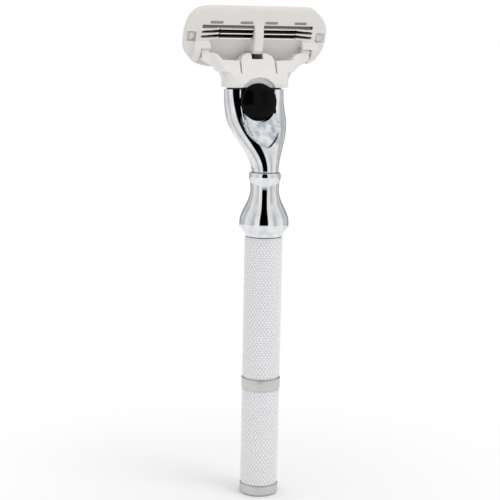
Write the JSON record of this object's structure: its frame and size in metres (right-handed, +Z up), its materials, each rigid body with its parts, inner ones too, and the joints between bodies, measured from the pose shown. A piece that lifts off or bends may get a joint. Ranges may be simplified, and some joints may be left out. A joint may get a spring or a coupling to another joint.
{
  "type": "cartridge razor",
  "caption": "Safety razor with a pivoting blade cartridge on a push-button release yoke, a plated S-bend neck and a knurled white metal handle.",
  "frame": {"origin": "centre of the end cap's flat bottom face", "axes": "+Z up the handle to the head, -Y to the back with the release button, +Y to the side the blades face, X across the cartridge"},
  "size_m": [0.0424, 0.0204, 0.1362],
  "materials": {
    "cap_steel": "satin turned steel",
    "grip_white": "white coating over a fine diamond knurl",
    "ring_steel": "satin turned steel, slightly warm",
    "rod_steel": "plain zinc-plated rod, hidden",
    "seal_black": "black rubber",
    "chrome": "mirror-bright plating",
    "insert_black": "black acetal",
    "button_black": "polished black",
    "spring_steel": "bright wire",
    "yoke_white": "white moulding, soft gloss",
    "housing_grey": "warm light grey moulding",
    "fins_rubber": "soft moulded rubber",
    "strip_polymer": "water-soluble lubricating polymer",
    "clip_aluminium": "rolled aluminium",
    "blade_steel": "ground edge",
    "support_steel": "bright rolled stainless steel"
  },
  "bodies": {
    "handle": {"end_cap": "cap_steel", "lower_grip": "grip_white", "middle_ring": "ring_steel", "upper_grip": "grip_white", "tie_rod": "rod_steel", "collar_gasket": "seal_black", "collar": "chrome", "neck_stud": "rod_steel", "neck_seal_ring": "seal_black", "neck": "chrome", "latch_insert": "insert_black", "button_spring": "spring_steel", "plunger_spring": "spring_steel"},
    "button": {"release_button": "button_black", "button_carriage": "insert_black"},
    "plunger": {"plunger": "insert_black"},
    "yoke": {"yoke": "yoke_white"},
    "cartridge": {"cartridge_housing": "housing_grey", "guard_fins": "fins_rubber", "lubricating_strip": "strip_polymer", "clip_left": "clip_aluminium", "clip_right": "clip_aluminium"},
    "blade_unit_1": {"blade_1": "blade_steel", "blade_support_1": "support_steel"},
    "blade_unit_2": {"blade_2": "blade_steel", "blade_support_2": "support_steel"},
    "blade_unit_3": {"blade_3": "blade_steel", "blade_support_3": "support_steel"}
  },
  "joints": [
    {"name": "button_slide", "type": "slide", "parent": "handle", "child": "button", "axis": [0, 0, 1], "range_m": [0, 0.0013], "stiffness_N_per_m": 400, "springref_m": -0.001, "deforming": ["button_spring"]},
    {"name": "cartridge_release", "type": "slide", "parent": "handle", "child": "yoke", "axis": [0, 0, 1], "range_m": [0, 0.012]},
    {"name": "cartridge_pivot", "type": "hinge", "parent": "yoke", "child": "cartridge", "pos_m": [0, 0.0091, 0.1238], "axis": [1, 0, 0], "range_deg": [0, 41], "stiffness_Nm_per_rad": 0.003, "springref_deg": -17.19},
    {"name": "plunger_slide", "type": "slide", "parent": "handle", "child": "plunger", "axis": [0, 0, -1], "range_m": [0, 0.00087], "deforming": ["plunger_spring"]},
    {"name": "blade_float_1", "type": "slide", "parent": "cartridge", "child": "blade_unit_1", "axis": [0, -0.9397, -0.342], "range_m": [0, 0.0003], "stiffness_N_per_m": 600, "springref_m": -0.0003},
    {"name": "blade_float_2", "type": "slide", "parent": "cartridge", "child": "blade_unit_2", "axis": [0, -0.9397, -0.342], "range_m": [0, 0.0003], "stiffness_N_per_m": 600, "springref_m": -0.0003},
    {"name": "blade_float_3", "type": "slide", "parent": "cartridge", "child": "blade_unit_3", "axis": [0, -0.9397, -0.342], "range_m": [0, 0.0003], "stiffness_N_per_m": 600, "springref_m": -0.0003}
  ],
  "couplings": [
    {"joint": "plunger_slide", "follows": "cartridge_pivot", "m_per_rad": 0.0012}
  ]
}
